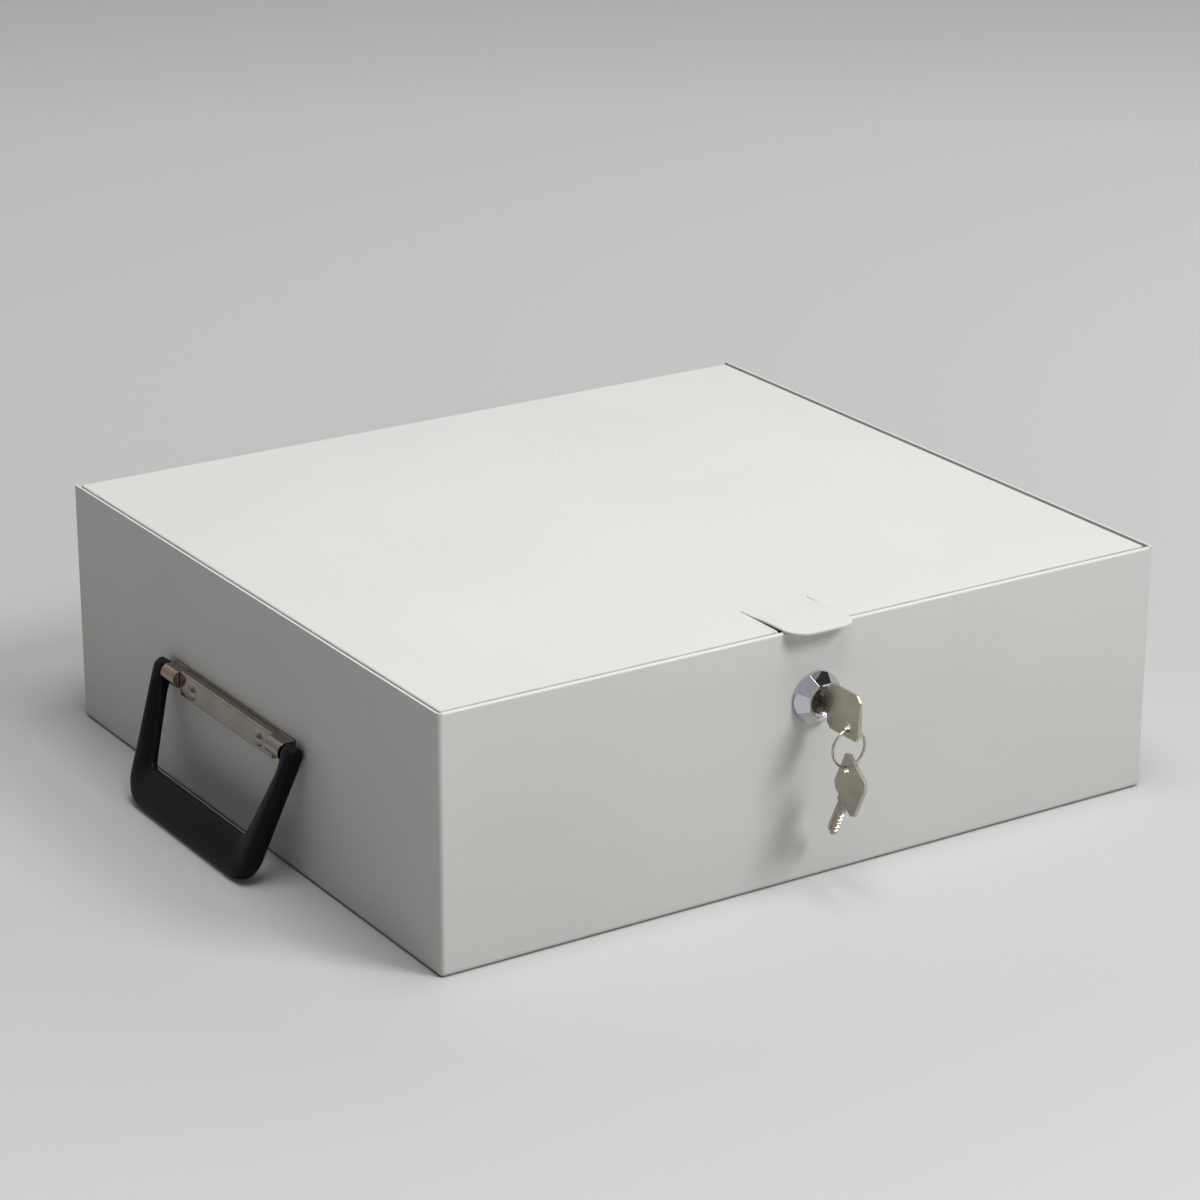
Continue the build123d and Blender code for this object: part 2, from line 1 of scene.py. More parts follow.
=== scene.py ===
import bmesh
import bpy
import json
import numpy as np
from math import cos, pi, radians, sin
from mathutils import Matrix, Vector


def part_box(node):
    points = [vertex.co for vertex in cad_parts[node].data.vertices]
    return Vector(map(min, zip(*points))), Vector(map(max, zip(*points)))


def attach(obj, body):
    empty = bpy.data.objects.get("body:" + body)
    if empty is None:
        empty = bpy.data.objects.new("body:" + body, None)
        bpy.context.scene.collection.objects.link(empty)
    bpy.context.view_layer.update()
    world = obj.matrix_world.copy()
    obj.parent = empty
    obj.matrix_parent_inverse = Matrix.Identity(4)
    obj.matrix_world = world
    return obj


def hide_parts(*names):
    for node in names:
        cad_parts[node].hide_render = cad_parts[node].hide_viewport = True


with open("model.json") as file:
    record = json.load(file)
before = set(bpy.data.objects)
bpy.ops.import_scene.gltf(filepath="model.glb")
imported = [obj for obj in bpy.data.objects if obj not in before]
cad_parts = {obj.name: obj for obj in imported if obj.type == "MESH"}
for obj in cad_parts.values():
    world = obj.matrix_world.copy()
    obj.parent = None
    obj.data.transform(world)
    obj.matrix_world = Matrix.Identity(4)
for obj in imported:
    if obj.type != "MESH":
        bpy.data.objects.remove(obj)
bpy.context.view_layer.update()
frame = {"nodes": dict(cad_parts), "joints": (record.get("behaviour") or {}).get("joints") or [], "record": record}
nodes = frame["nodes"]
bodyOf = {name: body for body, names in frame["record"]["behaviour"]["bodies"].items() for name in names}
slotOf = {entry["node"]: entry["material_slot"] for entry in frame["record"]["subparts"]}
pivotOf = {joint["name"]: joint.get("pos_m") for joint in frame["joints"]}
mm = 0.001
print("frame loaded:", len(nodes), "nodes")


# Shader helpers

def rgb(red, green, blue):
    return (red, green, blue, 1.0)


def feed(tree, value, socket):
    # a link where the value is another node's output, or else the plain value
    if hasattr(value, "is_output"):
        tree.links.new(value, socket)
    else:
        socket.default_value = value


def newGroup(name, vectors, numbers, results):
    # a node group with vector inputs, number inputs with their usual values, and number outputs
    group = bpy.data.node_groups.new(name, "ShaderNodeTree")
    for label in vectors:
        group.interface.new_socket(label, in_out="INPUT", socket_type="NodeSocketVector")
    for label, value in numbers.items():
        socket = group.interface.new_socket(label, in_out="INPUT", socket_type="NodeSocketFloat")
        socket.default_value = value
    for label in results:
        group.interface.new_socket(label, in_out="OUTPUT", socket_type="NodeSocketFloat")
    return group, group.nodes.new("NodeGroupInput").outputs, group.nodes.new("NodeGroupOutput").inputs


def mathNode(tree, operation, first, second=0.0, clamp=False):
    node = tree.nodes.new("ShaderNodeMath")
    node.operation = operation
    node.use_clamp = clamp
    feed(tree, first, node.inputs[0])
    feed(tree, second, node.inputs[1])
    return node.outputs[0]


def vectorNode(tree, operation, first, second=None):
    node = tree.nodes.new("ShaderNodeVectorMath")
    node.operation = operation
    feed(tree, first, node.inputs[0])
    if second is not None:
        feed(tree, second, node.inputs[1])
    return node.outputs


def mixColour(tree, factor, first, second):
    node = tree.nodes.new("ShaderNodeMix")
    node.data_type = "RGBA"
    for index, value in ((0, factor), (6, first), (7, second)):
        feed(tree, value, node.inputs[index])
    return node.outputs[2]


def mixNumber(tree, factor, first, second):
    node = tree.nodes.new("ShaderNodeMix")
    for label, value in (("Factor", factor), ("A", first), ("B", second)):
        feed(tree, value, node.inputs[label])
    return node.outputs["Result"]


def remap(tree, value, low, high, toLow, toHigh):
    node = tree.nodes.new("ShaderNodeMapRange")
    ends = {"Value": value, "From Min": low, "From Max": high, "To Min": toLow, "To Max": toHigh}
    for label, end in ends.items():
        feed(tree, end, node.inputs[label])
    return node.outputs["Result"]


def splitAxes(tree, vector):
    node = tree.nodes.new("ShaderNodeSeparateXYZ")
    tree.links.new(vector, node.inputs[0])
    return node.outputs


def addNoise(tree, vector, scale, detail, roughness):
    noise = tree.nodes.new("ShaderNodeTexNoise")
    for label, value in (("Vector", vector), ("Scale", scale), ("Detail", detail), ("Roughness", roughness)):
        feed(tree, value, noise.inputs[label])
    return noise.outputs["Fac"]


# Finishes that several materials share

# detail and roughness of each grain's noise
grainNoise = {"peel": (3.0, 0.55), "swell": (2.0, 0.5), "lines": (3.0, 0.6), "cloud": (4.0, 0.6)}
# how noise breaks up a mask: its detail and roughness, the stretch of noise that counts, and the least left
patches = {"edgeRub": {"detail": 4.0, "roughness": 0.65, "low": 0.38, "high": 0.68, "least": 0.25},
           "dustFilm": {"detail": 5.0, "roughness": 0.62, "low": 0.30, "high": 0.75, "least": 0.20},
           "gapShade": {"detail": 3.0, "roughness": 0.60, "low": 0.30, "high": 0.70, "least": 0.70}}
probeSamples = 6


def breakUp(group, ins, outs, mask, patch):
    # the group's mask: thinned out by noise in patches, then scaled by Amount
    noise = addNoise(group, ins["Vector"], ins["Patch Scale"], patch["detail"], patch["roughness"])
    thinned = remap(group, noise, patch["low"], patch["high"], patch["least"], 1.0)
    broken = mathNode(group, "MULTIPLY", mask, thinned)
    group.links.new(mathNode(group, "MULTIPLY", broken, ins["Amount"], clamp=True), outs["Mask"])


def makeCoatGrain():
    # powder coat: fine orange peel as a height, a slower swell as a tone, and sparse specks
    scales = {"Grain Scale": 900.0, "Swell Scale": 14.0, "Speck Scale": 420.0}
    speckRadius = 0.12
    group, ins, outs = newGroup("coatGrain", ["Vector"], scales, ["Height", "Tone", "Speck"])
    group.links.new(addNoise(group, ins["Vector"], ins["Grain Scale"], *grainNoise["peel"]), outs["Height"])
    group.links.new(addNoise(group, ins["Vector"], ins["Swell Scale"], *grainNoise["swell"]), outs["Tone"])
    speck = group.nodes.new("ShaderNodeTexVoronoi")
    group.links.new(ins["Vector"], speck.inputs["Vector"])
    group.links.new(ins["Speck Scale"], speck.inputs["Scale"])
    group.links.new(remap(group, speck.outputs["Distance"], 0.0, speckRadius, 1.0, 0.0), outs["Speck"])
    return group


def makeEdgeRub():
    # rubbed edges: where an edge is sharp, the normal rounded over Reach turns away from the face's own
    usual = {"Reach": 0.0006, "Patch Scale": 60.0, "Amount": 0.5}
    cosineFlat, cosineEdge = 0.995, 0.80
    group, ins, outs = newGroup("edgeRub", ["Vector"], usual, ["Mask"])
    bevel = group.nodes.new("ShaderNodeBevel")
    bevel.samples = probeSamples
    group.links.new(ins["Reach"], bevel.inputs["Radius"])
    geometry = group.nodes.new("ShaderNodeNewGeometry")
    together = vectorNode(group, "DOT_PRODUCT", bevel.outputs["Normal"], geometry.outputs["Normal"])
    turned = remap(group, together["Value"], cosineFlat, cosineEdge, 0.0, 1.0)
    breakUp(group, ins, outs, turned, patches["edgeRub"])
    return group


def makeDustFilm():
    # dust: gathers on faces that look up, from where the Z of their normal passes leastUp
    leastUp = 0.2
    group, ins, outs = newGroup("dustFilm", ["Vector"], {"Patch Scale": 25.0, "Amount": 0.2}, ["Mask"])
    geometry = group.nodes.new("ShaderNodeNewGeometry")
    upward = remap(group, splitAxes(group, geometry.outputs["Normal"])["Z"], leastUp, 1.0, 0.0, 1.0)
    breakUp(group, ins, outs, upward, patches["dustFilm"])
    return group


def makeGapShade():
    # painted shade in gaps and hollows: full where no more open sky than Full is left within Reach, and none from
    # Clear on
    usual = {"Reach": 0.004, "Patch Scale": 80.0, "Amount": 0.5, "Full": 0.15, "Clear": 0.60}
    group, ins, outs = newGroup("gapShade", ["Vector"], usual, ["Mask"])
    hollow = group.nodes.new("ShaderNodeAmbientOcclusion")
    hollow.samples = probeSamples
    group.links.new(ins["Reach"], hollow.inputs["Distance"])
    deep = remap(group, hollow.outputs["AO"], ins["Full"], ins["Clear"], 1.0, 0.0)
    breakUp(group, ins, outs, deep, patches["gapShade"])
    return group


def makeBrushedGrain():
    # brushed metal: noise drawn out by Stretch into fine lines, and a cloudy tarnish
    group, ins, outs = newGroup("brushedGrain", ["Vector", "Stretch"], {"Cloud Scale": 120.0},
                                ["Lines", "Cloud"])
    drawn = vectorNode(group, "MULTIPLY", ins["Vector"], ins["Stretch"])["Vector"]
    group.links.new(addNoise(group, drawn, 1.0, *grainNoise["lines"]), outs["Lines"])
    group.links.new(addNoise(group, ins["Vector"], ins["Cloud Scale"], *grainNoise["cloud"]), outs["Cloud"])
    return group


groups = {"coatGrain": makeCoatGrain(), "edgeRub": makeEdgeRub(), "gapShade": makeGapShade(),
          "brushedGrain": makeBrushedGrain(), "dustFilm": makeDustFilm()}


def startMaterial(name):
    # a new material with its Principled shader and Object coordinates
    material = bpy.data.materials.new(name)
    material.use_nodes = True
    tree = material.node_tree
    place = tree.nodes.new("ShaderNodeTexCoord").outputs["Object"]
    return material, tree, tree.nodes["Principled BSDF"].inputs, place


def useGroup(tree, name, place, values):
    # the shared group in this material, with the material's own values on its sockets
    node = tree.nodes.new("ShaderNodeGroup")
    node.node_tree = groups[name]
    tree.links.new(place, node.inputs["Vector"])
    for label, value in values.items():
        node.inputs[label].default_value = value
    return node.outputs


def bumpFrom(tree, shader, height, strength, distance):
    bump = tree.nodes.new("ShaderNodeBump")
    bump.inputs["Strength"].default_value = strength
    bump.inputs["Distance"].default_value = distance
    tree.links.new(height, bump.inputs["Height"])
    tree.links.new(bump.outputs["Normal"], shader["Normal"])


# the noise value that ends up as the smoothest and the roughest, in every finish
grainSpan = (0.3, 0.7)


# Materials

# scales are per metre, and reaches and heights are in metres
# the darkest paint colour is painted shade, laid into gaps and hollows where shade falls
paint = {"base": rgb(0.665, 0.662, 0.630), "cool": rgb(0.640, 0.640, 0.612), "speck": rgb(0.58, 0.575, 0.545),
         "rubbed": rgb(0.78, 0.775, 0.745), "dusty": rgb(0.70, 0.69, 0.66), "shadedGap": rgb(0.075, 0.074, 0.068),
         "grain": {"Grain Scale": 850.0, "Swell Scale": 11.0, "Speck Scale": 300.0},
         "rub": {"Reach": 0.0007, "Patch Scale": 45.0, "Amount": 0.7},
         "dust": {"Patch Scale": 18.0, "Amount": 0.10},
         "toneSpan": (0.35, 0.65), "speckAmount": 0.35, "roughness": (0.41, 0.53), "specular": 0.45,
         "bump": 0.55, "grainHeight": 0.00003}
# painted gap shade: the lid's starts higher in the gap round it, where the sky is more open
caseShading = {"Reach": 0.0016, "Patch Scale": 80.0, "Amount": 0.92, "Full": 0.15, "Clear": 0.60}
lidShading = {"Reach": 0.0030, "Patch Scale": 80.0, "Amount": 0.95, "Full": 0.66, "Clear": 0.90}
# and it keeps off the finger tab, which stands clear of the rim, and off the sheet's underside
lidClear = {"tabHalf": 17.2 * mm, "tabFade": 0.6 * mm, "belowRim": 1.16 * mm, "underFade": 0.1 * mm}


def lidEdgeOnly(tree, place, mask):
    # the painted shade's mask without the tab's width round the middle, and without what lies under the sheet
    axes = splitAxes(tree, place)
    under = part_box("case_body")[1][2] - lidClear["belowRim"]
    beside = remap(tree, mathNode(tree, "ABSOLUTE", axes["X"]), lidClear["tabHalf"],
                   lidClear["tabHalf"] + lidClear["tabFade"], 0.0, 1.0)
    above = remap(tree, axes["Z"], under, under + lidClear["underFade"], 0.0, 1.0)
    return mathNode(tree, "MULTIPLY", mathNode(tree, "MULTIPLY", mask, beside), above)


def makePaint(name, shadeSettings, isLid):
    material, tree, shader, place = startMaterial(name)
    grain = useGroup(tree, "coatGrain", place, paint["grain"])
    rub = useGroup(tree, "edgeRub", place, paint["rub"])["Mask"]
    dust = useGroup(tree, "dustFilm", place, paint["dust"])["Mask"]
    paintedShade = useGroup(tree, "gapShade", place, shadeSettings)["Mask"]
    if isLid:
        paintedShade = lidEdgeOnly(tree, place, paintedShade)
    tone = remap(tree, grain["Tone"], *paint["toneSpan"], 0.0, 1.0)
    colour = mixColour(tree, tone, paint["base"], paint["cool"])
    specks = mathNode(tree, "MULTIPLY", grain["Speck"], paint["speckAmount"])
    # specks, rubbed edges and dust are the paint's own; the last mask lays painted shade into the gaps
    for mask, over in ((specks, "speck"), (rub, "rubbed"), (dust, "dusty"), (paintedShade, "shadedGap")):
        colour = mixColour(tree, mask, colour, paint[over])
    tree.links.new(colour, shader["Base Color"])
    tree.links.new(remap(tree, grain["Height"], *grainSpan, *paint["roughness"]), shader["Roughness"])
    shader["Specular IOR Level"].default_value = paint["specular"]
    bumpFrom(tree, shader, grain["Height"], paint["bump"], paint["grainHeight"])
    return material


plastic = {"base": rgb(0.0030, 0.0027, 0.0052), "pale": rgb(0.0048, 0.0043, 0.0074),
           "rubbed": rgb(0.012, 0.011, 0.014), "dusty": rgb(0.16, 0.155, 0.15),
           "grain": {"Grain Scale": 2200.0, "Swell Scale": 40.0, "Speck Scale": 700.0},
           "rub": {"Reach": 0.0010, "Patch Scale": 90.0, "Amount": 0.35},
           "dust": {"Patch Scale": 70.0, "Amount": 0.01},
           "roughness": (0.42, 0.56), "specular": 0.12, "bump": 0.4, "grainHeight": 0.00002}


def makePlastic():
    material, tree, shader, place = startMaterial("blackPlastic")
    grain = useGroup(tree, "coatGrain", place, plastic["grain"])
    rub = useGroup(tree, "edgeRub", place, plastic["rub"])["Mask"]
    dust = useGroup(tree, "dustFilm", place, plastic["dust"])["Mask"]
    colour = mixColour(tree, grain["Tone"], plastic["base"], plastic["pale"])
    for mask, over in ((rub, "rubbed"), (dust, "dusty")):
        colour = mixColour(tree, mask, colour, plastic[over])
    tree.links.new(colour, shader["Base Color"])
    tree.links.new(remap(tree, grain["Height"], *grainSpan, *plastic["roughness"]), shader["Roughness"])
    shader["Specular IOR Level"].default_value = plastic["specular"]
    bumpFrom(tree, shader, grain["Height"], plastic["bump"], plastic["grainHeight"])
    return material


# plated and bare metals: stretch draws the fine lines out, and rub is how far the edges are rubbed bright
metals = {
    "lock_chrome": {"name": "lockChrome", "colour": rgb(0.66, 0.66, 0.71), "tarnish": rgb(0.59, 0.59, 0.65),
                    "rough": 0.06, "stretch": (300.0, 300.0, 300.0), "lineDepth": 0.000001,
                    "cloudScale": 200.0, "rub": 0.2},
    "plug_steel": {"name": "plugSteel", "colour": rgb(0.13, 0.105, 0.09), "tarnish": rgb(0.085, 0.07, 0.06),
                   "rough": 0.26, "stretch": (900.0, 200.0, 900.0), "lineDepth": 0.000004,
                   "cloudScale": 300.0, "rub": 0.4},
    "zinc_steel": {"name": "zincSteel", "colour": rgb(0.56, 0.57, 0.58), "tarnish": rgb(0.47, 0.47, 0.48),
                   "rough": 0.34, "stretch": (220.0, 1400.0, 1400.0), "lineDepth": 0.000006,
                   "cloudScale": 90.0, "rub": 0.4},
    "brass": {"name": "wornBrass", "colour": rgb(0.72, 0.54, 0.26), "tarnish": rgb(0.58, 0.43, 0.21),
              "rough": 0.3, "stretch": (900.0, 300.0, 900.0), "lineDepth": 0.000005,
              "cloudScale": 250.0, "rub": 0.4},
    "key_nickel": {"name": "keyNickel", "colour": rgb(0.50, 0.465, 0.395), "tarnish": rgb(0.43, 0.40, 0.335),
                   "rough": 0.30, "stretch": (500.0, 240.0, 2600.0), "lineDepth": 0.000004,
                   "cloudScale": 160.0, "rub": 0.9},
    "ring_steel": {"name": "ringSteel", "colour": rgb(0.50, 0.47, 0.42), "tarnish": rgb(0.38, 0.35, 0.31),
                   "rough": 0.22, "stretch": (500.0, 500.0, 500.0), "lineDepth": 0.000002,
                   "cloudScale": 400.0, "rub": 0.2},
    "bracket_nickel": {"name": "bracketNickel", "colour": rgb(0.30, 0.26, 0.23),
                       "tarnish": rgb(0.235, 0.20, 0.175), "rough": 0.15, "stretch": (1600.0, 160.0, 1600.0),
                       "lineDepth": 0.0000015, "cloudScale": 60.0, "rub": 1.0},
}
# what all the metals share: a rubbed edge is brighter than the metal by this factor, up to the brightest
anyMetal = {"rub": {"Reach": 0.0003, "Patch Scale": 180.0}, "brighter": 1.45, "brightest": 0.95,
            "cloudSpan": (0.40, 0.72), "smoother": 0.8, "rougher": 1.35, "bump": 0.35}


def makeMetal(metal):
    # the lines change roughness and bump, and the cloud carries the tarnish
    material, tree, shader, place = startMaterial(metal["name"])
    grain = useGroup(tree, "brushedGrain", place,
                     {"Stretch": metal["stretch"], "Cloud Scale": metal["cloudScale"]})
    rub = useGroup(tree, "edgeRub", place, {**anyMetal["rub"], "Amount": metal["rub"]})["Mask"]
    cloud = remap(tree, grain["Cloud"], *anyMetal["cloudSpan"], 0.0, 1.0)
    stained = mixColour(tree, cloud, metal["colour"], metal["tarnish"])
    bright = rgb(*np.minimum(anyMetal["brightest"], np.array(metal["colour"][:3]) * anyMetal["brighter"]))
    tree.links.new(mixColour(tree, rub, stained, bright), shader["Base Color"])
    shader["Metallic"].default_value = 1.0
    lineRough = (metal["rough"] * anyMetal["smoother"], metal["rough"] * anyMetal["rougher"])
    tree.links.new(remap(tree, grain["Lines"], *grainSpan, *lineRough), shader["Roughness"])
    bumpFrom(tree, shader, grain["Lines"], anyMetal["bump"], metal["lineDepth"])
    return material


materials = {slot: makeMetal(metal) for slot, metal in metals.items()}
materials["grey_paint"] = makePaint("greyPaint", caseShading, False)
materials["black_plastic"] = makePlastic()
# the lid wears the case's paint with its own painted gap shade
ownMaterial = {"lid_panel": makePaint("lidPaint", lidShading, True)}


def dress(piece, name):
    # the piece wears the node's material on all its faces
    piece.data.materials.clear()
    piece.data.materials.append(ownMaterial.get(name, materials[slotOf[name]]))


for name, piece in nodes.items():
    dress(piece, name)
print("materials made:", len(materials) + len(ownMaterial))


# Pieces with rounded edges, from the frame's own shapes

# width of the rounded edge in millimetres, for each node that gets one
edgeWidth = {"lid_panel": 0.22, "case_body": 0.20, "lock_housing": 0.14, "lock_plug": 0.10, "lock_key": 0.16,
             "spare_key": 0.16, "lid_strike": 0.25, "lock_cam": 0.25, "lock_nut": 0.20, "lock_washer": 0.12,
             "stop_washer": 0.12, "cam_screw": 0.12, "rivet_washers": 0.12}
edgeCut = {"steps": 2, "cornerAngle": 32.0, "flatAngle": 0.4, "weldDistance": 1e-6}


def putInScene(name, data):
    thing = bpy.data.objects.new(name, data)
    bpy.context.scene.collection.objects.link(thing)
    return thing


def finishPiece(mesh, name, width=0.0):
    # smooth faces, a rounded edge, the node's material, and the place of the node on its body
    mesh.polygons.foreach_set("use_smooth", np.ones(len(mesh.polygons), bool))
    mesh.set_sharp_from_angle(angle=radians(edgeCut["cornerAngle"]))
    piece = putInScene(mesh.name, mesh)
    dress(piece, name)
    if width:
        bevel = piece.modifiers.new("roundedEdge", "BEVEL")
        bevel.width = width * mm
        bevel.segments = edgeCut["steps"]
        bevel.limit_method = "ANGLE"
        bevel.angle_limit = radians(edgeCut["cornerAngle"])
        bevel.harden_normals = True
    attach(piece, bodyOf[name])
    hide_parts(name)


def softPiece(name, width):
    # the node's triangles are welded, flat stretches become single faces, and sharp edges are rounded
    mesh = nodes[name].data.copy()
    mesh.name = name + "Soft"
    if "custom_normal" in mesh.attributes:
        mesh.attributes.remove(mesh.attributes["custom_normal"])
    work = bmesh.new()
    work.from_mesh(mesh)
    bmesh.ops.remove_doubles(work, verts=work.verts, dist=edgeCut["weldDistance"])
    flat = radians(edgeCut["flatAngle"])
    bmesh.ops.dissolve_limit(work, angle_limit=flat, verts=work.verts, edges=work.edges)
    work.to_mesh(mesh)
    work.free()
    finishPiece(mesh, name, width)


for name, width in edgeWidth.items():
    softPiece(name, width)
print("edges rounded:", len(edgeWidth), "pieces")


# New pieces, worked out as surfaces in millimetres

def gridFaces(rows, columns):
    # quads between neighbouring rows of points, wrapped round the columns
    row, column = np.meshgrid(np.arange(rows - 1), np.arange(columns), indexing="ij")
    nextColumn = (column + 1) % columns
    corners = (row * columns + column, row * columns + nextColumn,
               (row + 1) * columns + nextColumn, (row + 1) * columns + column)
    return np.stack([corner.ravel() for corner in corners], 1).tolist()


def meshFrom(name, points, faces, weld=True):
    # welded where a surface closes on itself, with its faces turned outwards
    mesh = bpy.data.meshes.new(name)
    mesh.from_pydata((points * mm).tolist(), [], faces)
    work = bmesh.new()
    work.from_mesh(mesh)
    if weld:
        bmesh.ops.remove_doubles(work, verts=work.verts, dist=edgeCut["weldDistance"])
    bmesh.ops.recalc_face_normals(work, faces=work.faces)
    work.to_mesh(mesh)
    work.free()
    return mesh


def signedPower(value, power):
    return np.sign(value) * np.abs(value) ** power


def roundedCorner(before, corner, after, radius, steps):
    # arc of the given radius that touches both sides of a corner
    before, corner, after = [np.array(point, float) for point in (before, corner, after)]
    toBefore = (before - corner) / np.linalg.norm(before - corner)
    toAfter = (after - corner) / np.linalg.norm(after - corner)
    half = np.arccos(np.clip(toBefore @ toAfter, -1, 1)) / 2
    middle = (toBefore + toAfter) / np.linalg.norm(toBefore + toAfter)
    centre = corner + middle * radius / sin(half)
    start = corner + toBefore * radius / np.tan(half) - centre
    sense = np.sign(start[0] * toBefore[1] - start[1] * toBefore[0])
    angle = np.linspace(0, pi - 2 * half, steps) * sense
    x = centre[0] + start[0] * np.cos(angle) + start[1] * np.sin(angle)
    y = centre[1] - start[0] * np.sin(angle) + start[1] * np.cos(angle)
    return np.stack([x, y], 1)


def circleArc(radius, angle, axis=0.0):
    # points at the given angles on a circle round (axis, 0)
    return np.stack([axis + radius * np.cos(angle), radius * np.sin(angle)], 1)


# Handle bail

# eye and grip values are half widths along the wall, gripHeight is measured along the bail, lean is in
# degrees, and the swell's two values are shares of the bail's length
bail = {"eyeOuter": 61.5, "gripOuter": 53.6, "eyeInner": 54.6, "eyeFace": 52.8, "gripInner": 42.4,
        "gripHeight": 17.6, "thickness": 8.0, "outerCorner": 13.0, "innerCorner": 4.5, "lean": 20.0,
        "floorGap": 0.2, "edgeRadius": 2.9, "roundness": 0.62, "innerTaper": 0.42, "taperStart": 0.15,
        "taperReach": 10.0, "gripSwell": 0.35, "swellFrom": 0.55, "swellOver": 0.40, "faceReach": 7.0,
        "eyeDraw": 0.8, "armSteps": 26, "cornerSteps": 16, "gripSteps": 36, "eyeSteps": 9, "aroundSteps": 40}


def bailSide(eye, grip, down, radius):
    # one side of the bail: down an arm, round a corner, along the grip, round a corner and up an arm
    start, first, second, end = np.array([(-eye, 0), (-grip, -down), (grip, -down), (eye, 0)], float)
    arcOne = roundedCorner(start, first, second, radius, bail["cornerSteps"])
    arcTwo = roundedCorner(first, second, end, radius, bail["cornerSteps"])
    legs = ((start, arcOne[0], bail["armSteps"]), (arcOne[-1], arcTwo[0], bail["gripSteps"]),
            (arcTwo[-1], end, bail["armSteps"]))
    lines = [near + np.linspace(0, 1, count)[:, None] * (far - near) for near, far, count in legs]
    return np.concatenate([lines[0][:-1], arcOne, lines[1][1:-1], arcTwo, lines[2][1:]])


def bailOutline(length):
    # outer side, inner side and half thickness, from one eye round the grip to the other eye
    outer = bailSide(bail["eyeOuter"], bail["gripOuter"], length, bail["outerCorner"])
    inner = bailSide(bail["eyeInner"], bail["gripInner"], length - bail["gripHeight"], bail["innerCorner"])
    # near the eye the inner side comes in to the bracket's end
    near = np.clip(1 + inner[:, 1] / bail["faceReach"], 0, 1) ** 2
    inner[:, 0] -= np.sign(inner[:, 0]) * near * (bail["eyeInner"] - bail["eyeFace"])
    radius = bail["thickness"] / 2
    swell = -(outer[:, 1] + length * bail["swellFrom"]) / (length * bail["swellOver"])
    thick = radius + bail["gripSwell"] * np.clip(swell, 0, 1)
    # the eyes: each arm runs on over the pivot in a half circle, drawn in a little at the top
    rise = np.linspace(0, pi / 2, bail["eyeSteps"])[1:]
    eyeOut = np.stack([bail["eyeOuter"] - bail["eyeDraw"] * np.sin(rise) ** 4, radius * np.sin(rise)], 1)
    eyeIn = np.stack([np.full(len(rise), bail["eyeFace"]), radius * np.sin(rise)], 1)
    mirrored = np.array((-1.0, 1.0))
    outer = np.concatenate([(eyeOut * mirrored)[::-1], outer, eyeOut])
    inner = np.concatenate([(eyeIn * mirrored)[::-1], inner, eyeIn])
    eyeThick = radius * np.cos(rise)
    return outer, inner, np.concatenate([eyeThick[::-1], thick, eyeThick])


def makeBail():
    # section at each step of the outline: x = half thickness * cos^p, thinner towards the inside,
    # and from inner to outer side = half width * sin^p. The whole then leans out from the wall
    pivot = np.array(pivotOf["handle_swing"]) / mm
    slope = radians(bail["lean"])
    flat = bail["thickness"] / 2 - bail["edgeRadius"]
    lowest = bail["floorGap"] + bail["edgeRadius"] + flat * sin(slope)
    outer, inner, thick = bailOutline((pivot[2] - lowest) / cos(slope) + bail["edgeRadius"])
    middle = (outer + inner) / 2
    half = (outer - inner) / 2
    theta = np.linspace(0, 2 * pi, bail["aroundSteps"], endpoint=False)
    spread = signedPower(np.sin(theta), bail["roundness"])
    inward = np.clip((bail["taperStart"] - spread) / (1 + bail["taperStart"]), 0, 1)
    belowEye = np.clip(-middle[:, 1:2] / bail["taperReach"], 0, 1)
    x = thick[:, None] * signedPower(np.cos(theta), bail["roundness"])
    x = x * (1 - bail["innerTaper"] * belowEye * inward)
    y = middle[:, 0:1] + half[:, 0:1] * spread
    z = middle[:, 1:2] + half[:, 1:2] * spread
    leaning = np.stack([x * cos(slope) + z * sin(slope), y, z * cos(slope) - x * sin(slope)], 2)
    points = leaning.reshape(-1, 3) + pivot
    mesh = meshFrom("handleBail", points, gridFaces(len(outer), bail["aroundSteps"]))
    height = round(float(points[:, 2].min()), 3)
    print("handle bail:", len(mesh.polygons), "faces, lowest point", height, "mm up")
    finishPiece(mesh, "handle_grip")


# Handle bracket

# depths are counted out from the wall, heights up from the pivot, and the roll's angles in degrees
bracket = {"length": 105.0, "knuckle": 11.5, "wallSheet": 1.2, "faceDepth": 5.2, "top": 4.0, "drop": 7.0,
           "flangeTop": 4.4, "grooveDepth": 0.45, "grooveWidth": 0.5, "foldRadius": 1.3, "footRadius": 0.65,
           "rollRadius": 4.0, "rollWall": 0.9, "rollFrom": 90.0, "rollTo": -145.0, "edge": 0.14,
           "arcSteps": 9, "rollSteps": 30, "pinHeadInset": 0.45, "pinHeadEnd": 5.4, "pinHeadGap": 0.03}


def bracketMiddle():
    # outline between the rolls: flange on the wall, groove, shelf, and a face with a rounded fold and foot
    back = bracket["wallSheet"] + bracket["grooveWidth"]
    grooveHeight = bracket["top"] - bracket["grooveDepth"]
    face = bracket["faceDepth"]
    top, low = bracket["top"], -bracket["drop"]
    flange = [(0, low), (0, bracket["flangeTop"]), (bracket["wallSheet"], bracket["flangeTop"]),
              (bracket["wallSheet"], grooveHeight), (back, grooveHeight), (back, top)]
    fold = roundedCorner((back, top), (face, top), (face, low), bracket["foldRadius"], bracket["arcSteps"])
    foot = roundedCorner((face, top), (face, low), (0, low), bracket["footRadius"], bracket["arcSteps"])
    return np.concatenate([flange, fold, foot])


